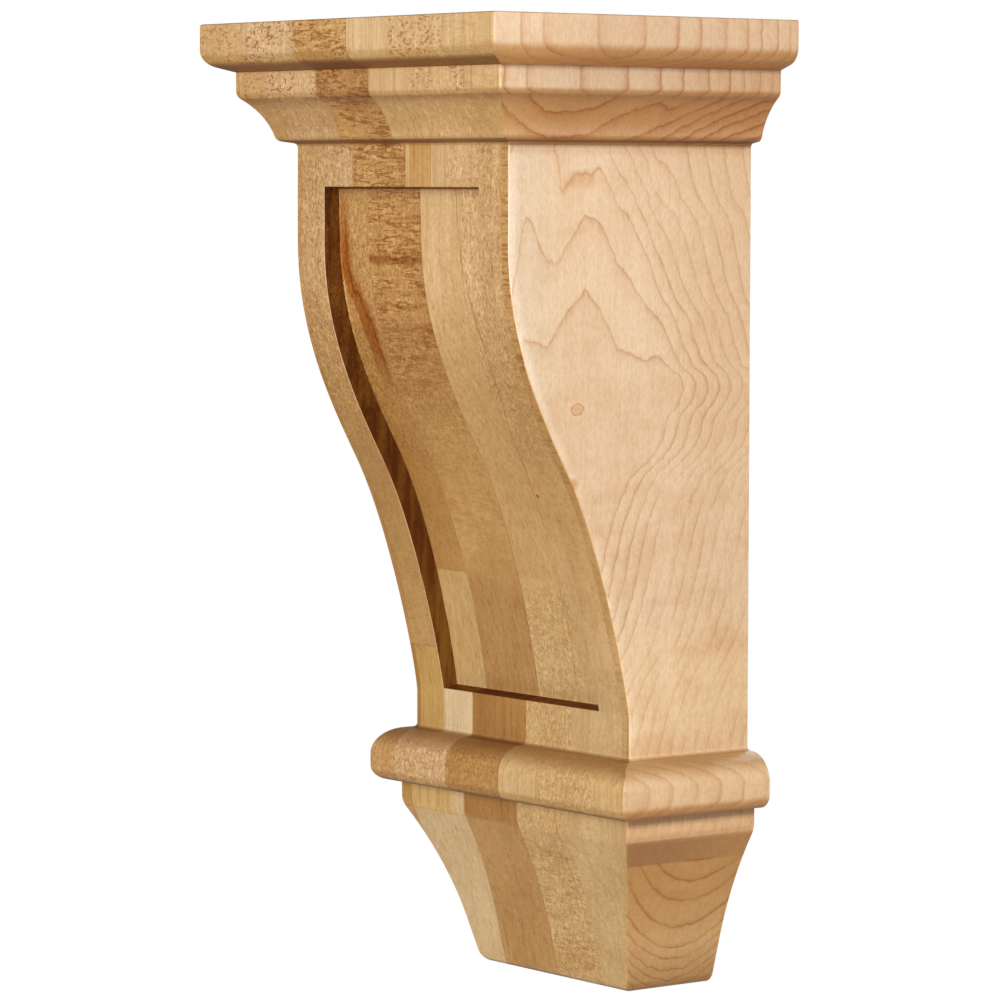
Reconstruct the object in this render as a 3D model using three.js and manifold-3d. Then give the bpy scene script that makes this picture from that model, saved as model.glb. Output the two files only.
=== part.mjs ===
// A carved maple corbel, glued up from boards and then cut as one solid.
// From the top it has a stepped crown, a body with an S-shaped front and a sunk panel,
// a rounded bead, and a drop that tapers to a small flat foot.
// Millimetres, +Z up. The flat back lies on the wall at y = 0, and the front faces -Y.
// The crown, the bead and the drop return round both sides and stop flush with the back.
import * as THREE from 'three';
import { mergeVertices } from 'three/addons/utils/BufferGeometryUtils.js';
import Module from 'manifold-3d';

const wasm = await Module();
wasm.setup();

// Overall sizes
const height = 355.6;
const bodyWidth = 130.5;
const bellyDepth = 111.2; // back to front where the body is fullest
const waistDepth = 55.9; // back to front just above the bead
const cornerEase = 0.8; // flat taken off the two front corners

// Crown, from the top down: cap, tier and cove
const capOverhang = 26.2;
const capEase = 0.7;
const capHeight = 14.5; // down to where the two lines of its lower edge would meet
const capRounding = 4.8;
const capUndercut = 3.4; // the slope from the cap's lower edge in to the tier
const tierOverhang = 16.5;
const tierHeight = 8.8;
const tierRounding = 1.7;
const coveOverhang = 8.6; // at the corner that the hollow's curve is drawn round
const coveFall = 6.7; // from the tier's lower edge down to that corner
const coveRounding = 8;
const noseOverhang = 5.7;
const noseFall = 9.9;
const noseRounding = 1.6;
const soffitFall = 1; // the slope under the nose, in to the body
const topFillet = 1.3;

// S-shaped front. The curve runs from the belly to the waist, and its own shape is given
// as shares of its height and depth. The pulls say how far it keeps each direction.
const bellyDrop = 36.3; // straight part below the crown
const waistRise = 14; // straight part above the bead
const crossingHeight = 0.525; // where the full belly turns into the hollow
const crossingDepth = 0.515;
const crossingSlope = 1.77; // times the slope of a straight line from belly to waist
const bellyPull = 0.19;
const aboveCrossingPull = 0.159;
const belowCrossingPull = 0.192;
const waistPull = 0.038;

// Sunk panel
const panelSideRail = 17.7;
const panelTopRail = 16;
const panelBottomRail = 16.6;
const panelEndDepth = 6.6;
const panelMiddleDepth = 8.4;

// Bead
const beadHeight = 20.6;
const beadOverhang = 12.8;
const beadTopRounding = 10.6;
const beadLowRounding = 5;
const beadFillet = 1.8;
const beadSoffitFall = 0.6;

// Drop, from the top down: tier, hollow taper and foot
const dropHeight = 68.4;
const dropOverhang = 4.15;
const dropTierHeight = 8;
const dropTierRounding = 2.6;
const dropHollowInset = 9.6; // inside the body's sides, at the corner of the hollow's curve
const dropHollowFall = 22.3;
const dropHollowRounding = 22.5;
const footInset = 20.3;
const footRounding = 4;
const dropFrontShare = 0.828; // the front tapers less than the sides

// Fineness of the curves
const arcSteps = 7;
const curveSteps = 24;
const toolClearance = 30; // how far a cutting shape stands clear of the wood

const bodyTop = height - capHeight - capUndercut - tierHeight - coveFall - noseFall - soffitFall;
const beadTop = dropHeight + beadHeight;

// An outline is a list of corners [reach, level, rounding]. Each corner with a rounding becomes
// an arc that starts and ends that far from it.
function roundedOutline(corners) {
  const points = corners.map(([reach, level]) => new THREE.Vector2(reach, level));
  const path = new THREE.Path();
  path.moveTo(points[0].x, points[0].y);
  for (let i = 1; i < points.length - 1; i++) {
    const corner = points[i];
    const rounding = corners[i][2];
    const before = points[i - 1].clone().sub(corner).normalize();
    const after = points[i + 1].clone().sub(corner).normalize();
    if (rounding === 0) {
      path.lineTo(corner.x, corner.y);
      continue;
    }
    const start = corner.clone().addScaledVector(before, rounding);
    const end = corner.clone().addScaledVector(after, rounding);
    const toCentre = before.clone().add(after).normalize();
    const halfAngle = Math.acos(toCentre.dot(before));
    const centre = corner.clone().addScaledVector(toCentre, rounding / Math.cos(halfAngle));
    const startAngle = start.clone().sub(centre).angle();
    const endAngle = end.clone().sub(centre).angle();
    const clockwise = before.cross(after) > 0;
    path.lineTo(start.x, start.y);
    path.absarc(centre.x, centre.y, start.distanceTo(centre), startAngle, endAngle, clockwise);
  }
  const last = points[points.length - 1];
  path.lineTo(last.x, last.y);
  return withoutRepeats(path.getPoints(arcSteps));
}

function withoutRepeats(points) {
  const nearest = 0.01;
  return points.filter((point, i) => i === 0 || point.distanceTo(points[i - 1]) > nearest);
}

// Reach is how far each moulding stands out from the body.
function crownOutline() {
  const capFoot = height - capHeight;
  const tierTop = capFoot - capUndercut;
  const tierFoot = tierTop - tierHeight;
  const coveLevel = tierFoot - coveFall;
  const noseFoot = coveLevel - noseFall;
  return roundedOutline([
    [capOverhang - capEase, height, 0],
    [capOverhang, height - capEase, 0],
    [capOverhang, capFoot, capRounding],
    [tierOverhang, tierTop, 0],
    [tierOverhang, tierFoot, tierRounding],
    [coveOverhang, coveLevel, coveRounding],
    [noseOverhang, noseFoot, noseRounding],
    [0, bodyTop, topFillet],
    [0, bodyTop - 2 * topFillet, 0],
  ]);
}

function beadOutline() {
  const beadFoot = dropHeight + beadSoffitFall;
  return roundedOutline([
    [0, beadTop + 2 * beadFillet, 0],
    [0, beadTop, beadFillet],
    [beadOverhang, beadTop, beadTopRounding],
    [beadOverhang, beadFoot, beadLowRounding],
    [dropOverhang, dropHeight, 0],
  ]);
}

function dropOutline() {
  const tierFoot = dropHeight - dropTierHeight;
  return roundedOutline([
    [dropOverhang, dropHeight, 0],
    [dropOverhang, tierFoot, dropTierRounding],
    [-dropHollowInset, tierFoot - dropHollowFall, dropHollowRounding],
    [-footInset, 0, footRounding],
    [-footInset - 2 * footRounding, 0, 0],
  ]);
}

// The body's front, as depth from the back against height.
function bodyFrontOutline() {
  const upper = new THREE.Vector2(bellyDepth, bodyTop - bellyDrop);
  const lower = new THREE.Vector2(waistDepth, beadTop + waistRise);
  const rise = upper.y - lower.y;
  const swell = upper.x - lower.x;
  const crossing = new THREE.Vector2(lower.x + crossingDepth * swell, lower.y + crossingHeight * rise);
  const lean = new THREE.Vector2((crossingSlope * swell) / rise, 1).normalize();
  const above = crossing.clone().addScaledVector(lean, aboveCrossingPull * rise);
  const below = crossing.clone().addScaledVector(lean, -belowCrossingPull * rise);
  const path = new THREE.Path();
  path.moveTo(bellyDepth, bodyTop - 2 * topFillet);
  path.lineTo(upper.x, upper.y);
  path.bezierCurveTo(upper.x, upper.y - bellyPull * rise, above.x, above.y, crossing.x, crossing.y);
  path.bezierCurveTo(below.x, below.y, lower.x, lower.y + waistPull * rise, lower.x, lower.y);
  path.lineTo(waistDepth, beadTop + 2 * beadFillet);
  return withoutRepeats(path.getPoints(curveSteps));
}

// One level cut through the corbel, with its two front corners eased.
function section(halfWidth, depth, level) {
  const ease = cornerEase;
  return [
    [halfWidth, 0, level],
    [-halfWidth, 0, level],
    [-halfWidth, ease - depth, level],
    [ease - halfWidth, -depth, level],
    [halfWidth - ease, -depth, level],
    [halfWidth, ease - depth, level],
  ];
}

function corbelSections(frontOutline) {
  const half = bodyWidth / 2;
  const crown = crownOutline().map((p) => section(half + p.x, bellyDepth + p.x, p.y));
  const body = frontOutline.map((p) => section(half, p.x, p.y));
  const bead = beadOutline().map((p) => section(half + p.x, waistDepth + p.x, p.y));
  const drop = dropOutline().map((p) => {
    const frontReach = dropOverhang - dropFrontShare * (dropOverhang - p.x);
    return section(half + p.x, waistDepth + frontReach, p.y);
  });
  // Neighbouring stretches meet at one level, so the second copy of it is left out.
  return [...crown, ...body.slice(1), ...bead.slice(1), ...drop.slice(1)];
}

// A closed skin over a stack of level outlines, given from the top down.
function loft(sections) {
  const size = sections[0].length;
  const triangles = [];
  for (let i = 0; i < sections.length - 1; i++) {
    for (let k = 0; k < size; k++) {
      const next = (k + 1) % size;
      const upper = [i * size + k, i * size + next];
      const lower = [(i + 1) * size + k, (i + 1) * size + next];
      triangles.push(upper[0], lower[0], upper[1], upper[1], lower[0], lower[1]);
    }
  }
  const bottom = (sections.length - 1) * size;
  for (let k = 1; k < size - 1; k++) {
    triangles.push(0, k, k + 1);
    triangles.push(bottom, bottom + k + 1, bottom + k);
  }
  const geometry = new THREE.BufferGeometry();
  geometry.setAttribute('position', new THREE.Float32BufferAttribute(sections.flat(2), 3));
  geometry.setIndex(triangles);
  return geometry;
}

// The point of the front outline at one height.
function frontAt(outline, level) {
  const below = outline.findIndex((point) => point.y <= level);
  const upper = outline[below - 1];
  const lower = outline[below];
  return upper.clone().lerp(lower, (upper.y - level) / (upper.y - lower.y));
}

// The wood taken out for the sunk panel. Its floor follows the front, and its top and bottom
// walls stand square to the front.
function panelCut(frontOutline) {
  const top = bodyTop - panelTopRail;
  const bottom = beadTop + panelBottomRail;
  const between = frontOutline.filter((point) => point.y < top && point.y > bottom);
  const edge = [frontAt(frontOutline, top), ...between, frontAt(frontOutline, bottom)];
  const inward = edge.map((point, i) => {
    const along = edge[Math.min(i + 1, edge.length - 1)].clone().sub(edge[Math.max(i - 1, 0)]).normalize();
    return new THREE.Vector2(along.y, -along.x);
  });
  const floor = edge.map((point, i) => {
    const share = (top - point.y) / (top - bottom);
    const depth = panelEndDepth + (panelMiddleDepth - panelEndDepth) * Math.sin(Math.PI * share);
    return point.clone().addScaledVector(inward[i], depth);
  });
  const last = edge.length - 1;
  const outerTop = edge[0].clone().addScaledVector(inward[0], -toolClearance);
  const outerBottom = edge[last].clone().addScaledVector(inward[last], -toolClearance);
  const width = bodyWidth - 2 * panelSideRail;
  const shape = new THREE.Shape([outerTop, ...floor, outerBottom]);
  const geometry = new THREE.ExtrudeGeometry(shape, { depth: width, bevelEnabled: false });
  geometry.translate(0, 0, -width / 2);
  const forward = new THREE.Vector3(0, -1, 0);
  const up = new THREE.Vector3(0, 0, 1);
  return geometry.applyMatrix4(new THREE.Matrix4().makeBasis(forward, up, forward.clone().cross(up)));
}

function toSolid(geometry) {
  const bare = geometry.clone();
  bare.deleteAttribute('normal');
  bare.deleteAttribute('uv');
  const merged = mergeVertices(bare);
  const vertProperties = new Float32Array(merged.attributes.position.array);
  const triVerts = new Uint32Array(merged.index.array);
  return new wasm.Manifold(new wasm.Mesh({ numProp: 3, vertProperties, triVerts }));
}

function toGeometry(solid) {
  const mesh = solid.getMesh();
  const geometry = new THREE.BufferGeometry();
  geometry.setAttribute('position', new THREE.BufferAttribute(mesh.vertProperties, 3));
  geometry.setIndex(new THREE.BufferAttribute(mesh.triVerts, 1));
  geometry.computeVertexNormals();
  return geometry;
}

const maple = new THREE.MeshStandardMaterial({
  color: 0xd3a878,
  roughness: 0.55,
  metalness: 0,
  flatShading: true,
});

const frontOutline = bodyFrontOutline();
const blank = toSolid(loft(corbelSections(frontOutline)));
const carved = blank.subtract(toSolid(panelCut(frontOutline)));

const corbel = new THREE.Mesh(toGeometry(carved), maple);
corbel.name = 'corbel';
corbel.position.z = -height / 2; // the origin is the middle of the back

const group = new THREE.Group();
group.add(corbel);

export default group;
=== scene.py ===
# A carved maple corbel in Blender 4.5. Sizes are in millimetres and the mesh is in metres.
# The back lies on the wall at y = 0, the front faces -Y and the seat is on top.
import math

import bpy
from mathutils import Matrix, Vector, noise


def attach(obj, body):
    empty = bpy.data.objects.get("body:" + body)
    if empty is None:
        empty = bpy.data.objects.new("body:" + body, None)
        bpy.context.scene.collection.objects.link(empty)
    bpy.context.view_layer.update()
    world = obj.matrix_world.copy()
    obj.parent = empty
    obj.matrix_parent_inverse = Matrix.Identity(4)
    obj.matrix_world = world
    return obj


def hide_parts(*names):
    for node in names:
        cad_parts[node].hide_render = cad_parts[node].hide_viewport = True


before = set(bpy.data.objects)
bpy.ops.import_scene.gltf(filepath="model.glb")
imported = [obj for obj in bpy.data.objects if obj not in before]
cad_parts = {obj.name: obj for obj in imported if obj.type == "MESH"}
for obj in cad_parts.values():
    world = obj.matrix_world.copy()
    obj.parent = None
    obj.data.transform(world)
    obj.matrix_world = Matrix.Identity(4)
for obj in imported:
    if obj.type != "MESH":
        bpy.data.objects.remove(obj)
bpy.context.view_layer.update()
metres = 0.001


# Outlines of the mouldings. Reach is how far a moulding stands out from the body's side,
# and level is the height above the foot.
corbel = {
    "height": 355.6,
    "body width": 130.5,
    "belly depth": 111.2,
    "waist depth": 55.9,
    "corner ease": 0.8,
    "ease change": 0.25,  # how much the sanding of the corners varies, as a share
    "ease wander": (3.1, 0.045, 7.3),
    "back ease": 0.4,
    "cap overhang": 26.2,
    "cap ease": 0.8,
    "cap height": 14.5,
    "cap rounding": 4.8,
    "cap undercut": 3.4,
    "tier overhang": 16.5,
    "tier height": 8.8,
    "tier rounding": 1.7,
    "cove overhang": 8.6,
    "cove fall": 6.7,
    "cove rounding": 8,
    "nose overhang": 5.7,
    "nose fall": 9.9,
    "nose rounding": 1.6,
    "soffit fall": 1,
    "top fillet": 1.3,
    "belly drop": 36.3,
    "waist rise": 14,
    "crossing height": 0.525,
    "crossing depth": 0.515,
    "crossing slope": 1.77,
    "belly pull": 0.19,
    "above crossing pull": 0.159,
    "below crossing pull": 0.192,
    "waist pull": 0.038,
    "bead height": 20.6,
    "bead overhang": 12.8,
    "bead top rounding": 10.6,
    "bead low rounding": 5,
    "bead fillet": 1.8,
    "bead soffit fall": 0.6,
    "drop height": 68.4,
    "drop overhang": 4.15,
    "drop tier height": 8,
    "drop tier rounding": 2.6,
    "drop hollow inset": 9.6,
    "drop hollow fall": 22.3,
    "drop hollow rounding": 22.5,
    "foot inset": 20.3,
    "foot rounding": 4,
    "drop front share": 0.828,
    "arc steps": 14,
    "corner steps": 5,
    "curve steps": 120,
    "station gap": 1.6,  # along the S-shaped front
    "sharp angle": 32,
}

panel = {
    "side rail": 17.7,
    "top rail": 16,
    "bottom rail": 16.6,
    "end depth": 6.6,
    "middle depth": 8.4,
    "rim rounding": 0.35,
    "floor rounding": 0.3,
    "wall lean": 0.12,
    "rim steps": 3,
    "floor columns": 12,
    "end reach": 6,
}

bodyTop = (corbel["height"] - corbel["cap height"] - corbel["cap undercut"] - corbel["tier height"]
           - corbel["cove fall"] - corbel["nose fall"] - corbel["soffit fall"])
beadTop = corbel["drop height"] + corbel["bead height"]


def roundedOutline(corners):
    # Corners are (reach, level, rounding). A rounding is the length that the arc takes off each side.
    points = [Vector(corners[0][:2])]
    for before, here, after in zip(corners, corners[1:], corners[2:]):
        corner = Vector(here[:2])
        if here[2] == 0:
            points.append(corner)
            continue
        back = (Vector(before[:2]) - corner).normalized()
        ahead = (Vector(after[:2]) - corner).normalized()
        start = corner + back * here[2]
        end = corner + ahead * here[2]
        middle = (back + ahead).normalized()
        centre = corner + middle * here[2] / middle.dot(back)
        turn = (start - centre).angle_signed(end - centre)
        for step in range(corbel["arc steps"] + 1):
            spin = Matrix.Rotation(-turn * step / corbel["arc steps"], 2)
            points.append(centre + spin @ (start - centre))
    points.append(Vector(corners[-1][:2]))
    return points


def crownOutline():
    capFoot = corbel["height"] - corbel["cap height"]
    tierTop = capFoot - corbel["cap undercut"]
    tierFoot = tierTop - corbel["tier height"]
    coveLevel = tierFoot - corbel["cove fall"]
    noseFoot = coveLevel - corbel["nose fall"]
    return roundedOutline([
        (corbel["cap overhang"] - 2 * corbel["cap ease"], corbel["height"], 0),
        (corbel["cap overhang"], corbel["height"], corbel["cap ease"]),
        (corbel["cap overhang"], capFoot, corbel["cap rounding"]),
        (corbel["tier overhang"], tierTop, 0),
        (corbel["tier overhang"], tierFoot, corbel["tier rounding"]),
        (corbel["cove overhang"], coveLevel, corbel["cove rounding"]),
        (corbel["nose overhang"], noseFoot, corbel["nose rounding"]),
        (0, bodyTop, corbel["top fillet"]),
        (0, bodyTop - 2 * corbel["top fillet"], 0),
    ])


def beadOutline():
    beadFoot = corbel["drop height"] + corbel["bead soffit fall"]
    return roundedOutline([
        (0, beadTop + 2 * corbel["bead fillet"], 0),
        (0, beadTop, corbel["bead fillet"]),
        (corbel["bead overhang"], beadTop, corbel["bead top rounding"]),
        (corbel["bead overhang"], beadFoot, corbel["bead low rounding"]),
        (corbel["drop overhang"], corbel["drop height"], 0),
    ])


def dropOutline():
    tierFoot = corbel["drop height"] - corbel["drop tier height"]
    return roundedOutline([
        (corbel["drop overhang"], corbel["drop height"], 0),
        (corbel["drop overhang"], tierFoot, corbel["drop tier rounding"]),
        (-corbel["drop hollow inset"], tierFoot - corbel["drop hollow fall"], corbel["drop hollow rounding"]),
        (-corbel["foot inset"], 0, corbel["foot rounding"]),
        (-corbel["foot inset"] - 2 * corbel["foot rounding"], 0, 0),
    ])


def bezier(start, startPull, endPull, end, steps):
    points = []
    for step in range(1, steps + 1):
        t = step / steps
        u = 1 - t
        points.append(u**3 * start + 3 * u * u * t * startPull + 3 * u * t * t * endPull + t**3 * end)
    return points


def frontCurve():
    # The S-shaped front from the crown down to the bead, as (depth from the back, level).
    steps = corbel["curve steps"]
    upper = Vector((corbel["belly depth"], bodyTop - corbel["belly drop"]))
    lower = Vector((corbel["waist depth"], beadTop + corbel["waist rise"]))
    swell, rise = upper - lower
    crossing = lower + Vector((corbel["crossing depth"] * swell, corbel["crossing height"] * rise))
    lean = Vector((corbel["crossing slope"] * swell / rise, 1)).normalized()
    above = crossing + lean * corbel["above crossing pull"] * rise
    below = crossing - lean * corbel["below crossing pull"] * rise
    bellyPull = upper - Vector((0, corbel["belly pull"] * rise))
    waistPull = lower + Vector((0, corbel["waist pull"] * rise))
    return [
        Vector((corbel["belly depth"], bodyTop - 2 * corbel["top fillet"])),
        upper,
        *bezier(upper, bellyPull, above, crossing, steps),
        *bezier(crossing, below, waistPull, lower, steps),
        Vector((corbel["waist depth"], beadTop + 2 * corbel["bead fillet"])),
    ]


class CurveWalk:
    # Gives the point and the inward direction at any length along a curve.
    def __init__(self, points):
        self.points = points
        self.lengths = [0]
        for a, b in zip(points, points[1:]):
            self.lengths.append(self.lengths[-1] + (b - a).length)

    def at(self, length):
        i = 0
        while i < len(self.points) - 2 and self.lengths[i + 1] < length:
            i += 1
        share = (length - self.lengths[i]) / (self.lengths[i + 1] - self.lengths[i])
        return self.points[i].lerp(self.points[i + 1], share)

    def inward(self, length):
        near = 0.8
        ahead = self.at(min(length + near, self.lengths[-1])) - self.at(max(length - near, 0))
        return Vector((ahead.y, -ahead.x)).normalized()

    def lengthAtLevel(self, level):
        for i, (a, b) in enumerate(zip(self.points, self.points[1:])):
            if a.y >= level >= b.y:
                share = (a.y - level) / (a.y - b.y)
                return self.lengths[i] + share * (self.lengths[i + 1] - self.lengths[i])


def wallSteps():
    # From the rim to the floor of the sunk panel: (distance in from the rim's line, kind, share).
    steps = []
    for step in range(panel["rim steps"] + 1):
        turn = math.pi / 2 * step / panel["rim steps"]
        steps.append((panel["rim rounding"] * math.sin(turn), "rim", 1 - math.cos(turn)))
    for step in range(panel["rim steps"] + 1):
        turn = math.pi / 2 * step / panel["rim steps"]
        inset = panel["rim rounding"] + panel["wall lean"] + panel["floor rounding"] * (1 - math.cos(turn))
        steps.append((inset, "floor", 1 - math.sin(turn)))
    return steps


def sunk(step, depth):
    # How deep a step of the wall lies where the panel is this deep.
    if step is None:
        return depth
    inset, kind, share = step
    if kind == "rim":
        return panel["rim rounding"] * share
    return depth - panel["floor rounding"] * share


def cornerPoints(half, depth, level, side):
    # The rounded front corner, from the side face round to the front.
    across, up, start = corbel["ease wander"]
    wander = noise.noise(Vector((side * across, level * up, start)))
    ease = corbel["corner ease"] * (1 + corbel["ease change"] * wander)
    points = []
    for step in range(corbel["corner steps"] + 1):
        turn = math.pi / 2 * step / corbel["corner steps"]
        x = half - ease + ease * math.cos(turn)
        y = -(depth - ease + ease * math.sin(turn))
        points.append((side * x, y, level))
    return points


def panelColumns():
    # Places across the front as (x, step of the wall or None, inside the panel).
    rim = corbel["body width"] / 2 - panel["side rail"] + panel["rim rounding"]
    steps = wallSteps()
    right = [(rim - step[0], step) for step in steps]
    edge = right[-1][0]
    floor = []
    for column in range(1, panel["floor columns"]):
        floor.append((edge - 2 * edge * column / panel["floor columns"], None))
    left = [(-x, step) for x, step in reversed(right)]
    return right + floor + left


def ring(half, depth, level, columns, frontPoint=None):
    # One loop round the corbel, seen from above: back right, right corner, front, left corner, back left.
    ease = corbel["back ease"]
    bodyHalf = corbel["body width"] / 2
    right = cornerPoints(half, depth, level, 1)
    left = [(x, y, z) for x, y, z in reversed(cornerPoints(half, depth, level, -1))]
    front = []
    for x, step in columns:
        point = frontPoint(step) if frontPoint else (depth, level)
        front.append((x * half / bodyHalf, -point[0], point[1]))
    back = [(half - ease, 0, level), (half, -ease, level)]
    return back + right + front + left + [(-half, -ease, level), (ease - half, 0, level)]


def bodyStations(walk, rimTop, rimBottom):
    # Lengths along the front where the body has a ring, with the end walls' steps.
    steps = wallSteps()
    inset = steps[-1][0]
    stations = []

    def evenly(start, end, inside):
        count = max(1, round((end - start) / corbel["station gap"]))
        stations.extend((start + (end - start) * i / count, inside, None) for i in range(1, count))

    evenly(0, rimTop, False)
    stations.extend((rimTop + step[0], True, step) for step in steps)
    evenly(rimTop + inset, rimBottom - inset, True)
    stations.extend((rimBottom - step[0], True, step) for step in reversed(steps))
    evenly(rimBottom, walk.lengths[-1], False)
    return stations


def corbelRings():
    half = corbel["body width"] / 2
    columns = panelColumns()
    rings = []
    for reach, level in crownOutline():
        rings.append(ring(half + reach, corbel["belly depth"] + reach, level, columns))
    walk = CurveWalk(frontCurve())
    rimTop = walk.lengthAtLevel(bodyTop - panel["top rail"]) - panel["rim rounding"]
    rimBottom = walk.lengthAtLevel(beadTop + panel["bottom rail"]) + panel["rim rounding"]
    for length, inside, rowStep in bodyStations(walk, rimTop, rimBottom):
        point = walk.at(length)
        inward = walk.inward(length)
        share = (length - rimTop) / (rimBottom - rimTop)
        deepening = math.sin(math.pi * min(max(share, 0), 1))
        depth = panel["end depth"] + (panel["middle depth"] - panel["end depth"]) * deepening

        def frontPoint(columnStep):
            if not inside:
                return point
            return point + inward * min(sunk(columnStep, depth), sunk(rowStep, depth))

        rings.append(ring(half, point.x, point.y, columns, frontPoint))
    for reach, level in beadOutline():
        rings.append(ring(half + reach, corbel["waist depth"] + reach, level, columns))
    for reach, level in dropOutline()[1:]:
        frontReach = corbel["drop overhang"] - corbel["drop front share"] * (corbel["drop overhang"] - reach)
        rings.append(ring(half + reach, corbel["waist depth"] + frontReach, level, columns))
    return rings


panelLevels = (bodyTop - panel["top rail"], beadTop + panel["bottom rail"])


slots = {"front": 0, "right side": 1, "left side": 2, "panel wall": 3, "panel floor": 4, "back": 5}
# How far the normal of a face has to lean for its finish.
leans = {
    "back": 0.9,
    "wall": 0.8,
    "ledge": 0.3,
    "side": 0.55,
    "side facing down": 0.25,
    "side facing up": 0.05,
}


def faceFinish(points):
    a, b, c, d = points
    normal = (c - a).cross(d - b)
    if normal.length == 0:
        return slots["front"]
    normal.normalize()
    if normal.y > leans["back"]:
        return slots["back"]
    middle = (a + b + c + d) / 4
    rim = corbel["body width"] / 2 - panel["side rail"] + panel["rim rounding"]
    level = middle.z + corbel["height"] / 2
    beside = abs(normal.x) > leans["wall"] and abs(middle.x) < rim
    fromEnd = min(abs(level - panelLevels[0]), abs(level - panelLevels[1]))
    ended = fromEnd < panel["end reach"] and abs(normal.z) > leans["wall"]
    if panelLevels[1] < level < panelLevels[0] + 1 and (beside or (ended and abs(middle.x) < rim)):
        return slots["panel wall"]
    if panelLevels[1] < level < panelLevels[0] and abs(middle.x) < rim - panel["rim rounding"]:
        return slots["panel floor"]
    sideways = leans["side" if normal.z > -leans["ledge"] else "side facing down"]
    if normal.z > leans["ledge"] and abs(normal.x) > abs(normal.y):
        sideways = leans["side facing up"]
    if normal.x > sideways:
        return slots["right side"]
    if normal.x < -sideways:
        return slots["left side"]
    return slots["front"]


def buildCorbel(finishes):
    rings = corbelRings()
    lift = corbel["height"] / 2
    vertices = [Vector((x, y, z - lift)) for loop in rings for x, y, z in loop]
    size = len(rings[0])
    faces = []
    for i in range(len(rings) - 1):
        for k in range(size):
            after = (k + 1) % size
            faces.append((i * size + k, i * size + after, (i + 1) * size + after, (i + 1) * size + k))
    last = (len(rings) - 1) * size
    faces.append(tuple(reversed(range(size))))
    faces.append(tuple(last + k for k in range(size)))
    mesh = bpy.data.meshes.new("corbelBlock")
    mesh.from_pydata([v * metres for v in vertices], [], faces)
    for finish in finishes:
        mesh.materials.append(finish)
    for polygon in mesh.polygons:
        corners = [vertices[i] for i in polygon.vertices]
        polygon.material_index = faceFinish(corners) if len(corners) == 4 else slots["back"]
    mesh.validate()
    mesh.shade_smooth()
    mesh.set_sharp_from_angle(angle=math.radians(corbel["sharp angle"]))
    piece = bpy.data.objects.new("corbelBlock", mesh)
    bpy.context.collection.objects.link(piece)
    return piece


# Small helpers for building node trees. A socket or a plain value may be given for each input.
def connect(tree, source, target):
    if isinstance(source, bpy.types.NodeSocket):
        tree.links.new(source, target)
    else:
        target.default_value = source


def maths(tree, operation, a, b=0.0, held=False):
    node = tree.nodes.new("ShaderNodeMath")
    node.operation = operation
    node.use_clamp = held
    connect(tree, a, node.inputs[0])
    connect(tree, b, node.inputs[1])
    return node.outputs[0]


def times(tree, first, *others):
    for other in others:
        first = maths(tree, "MULTIPLY", first, other)
    return first


def most(tree, first, *others):
    for other in others:
        first = maths(tree, "MAXIMUM", first, other)
    return first


def plus(tree, a, b):
    return maths(tree, "ADD", a, b)


def minus(tree, a, b):
    return maths(tree, "SUBTRACT", a, b)


def ratio(tree, a, b):
    return maths(tree, "DIVIDE", a, b)


def nearTo(tree, value, middle, reach):
    # 1 within reach of the middle and 0 beyond it.
    node = maths(tree, "COMPARE", value, middle).node
    node.inputs[2].default_value = reach
    return node.outputs[0]


def vectorMaths(tree, operation, a, b):
    node = tree.nodes.new("ShaderNodeVectorMath")
    node.operation = operation
    connect(tree, a, node.inputs[0])
    connect(tree, b, node.inputs[1])
    return node.outputs[0]


def stretched(tree, place, scale):
    return vectorMaths(tree, "MULTIPLY", place, scale)


def moved(tree, place, shift):
    return vectorMaths(tree, "ADD", place, shift)


def parts(tree, vector):
    node = tree.nodes.new("ShaderNodeSeparateXYZ")
    connect(tree, vector, node.inputs[0])
    return node.outputs


def noiseNode(tree, place, reach, detail):
    node = tree.nodes.new("ShaderNodeTexNoise")
    connect(tree, stretched(tree, place, tuple(1 / r for r in reach)), node.inputs["Vector"])
    node.inputs["Scale"].default_value = 1
    node.inputs["Detail"].default_value = detail
    return node


def cloud(tree, place, reach, detail=2.0, roughness=0.5, distortion=0.0):
    # Soft noise from 0 to 1. Reach is the size of its lumps along x, y and z, in millimetres.
    node = noiseNode(tree, place, reach, detail)
    node.inputs["Roughness"].default_value = roughness
    node.inputs["Distortion"].default_value = distortion
    return node.outputs["Fac"]


def eased(tree, value, low, high, fromValue=0.0, toValue=1.0):
    node = tree.nodes.new("ShaderNodeMapRange")
    node.interpolation_type = "SMOOTHSTEP"
    connect(tree, value, node.inputs["Value"])
    for name, setting in (("From Min", low), ("From Max", high), ("To Min", fromValue), ("To Max", toValue)):
        connect(tree, setting, node.inputs[name])
    return node.outputs[0]


def between(tree, value, low, high, soft):
    # 1 inside a range and 0 outside it, with soft ends.
    inside = eased(tree, value, low - soft, low + soft)
    return times(tree, inside, eased(tree, value, high - soft, high + soft, 1.0, 0.0))


def tinted(tree, amount, colour, tint, blend="MULTIPLY"):
    node = tree.nodes.new("ShaderNodeMix")
    node.data_type = "RGBA"
    node.blend_type = blend
    connect(tree, amount, node.inputs[0])
    connect(tree, colour, node.inputs[6])
    connect(tree, tint if isinstance(tint, bpy.types.NodeSocket) else (*tint, 1), node.inputs[7])
    return node.outputs[2]


def washed(tree, colour, tints, washes):
    # Lays named tints over a colour, one after another, each where its mask is.
    for name, where in washes.items():
        colour = tinted(tree, where, colour, tints[name])
    return colour


def blended(tree, amount, a, b):
    node = tree.nodes.new("ShaderNodeMix")
    connect(tree, amount, node.inputs[0])
    connect(tree, a, node.inputs[2])
    connect(tree, b, node.inputs[3])
    return node.outputs[0]


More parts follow.
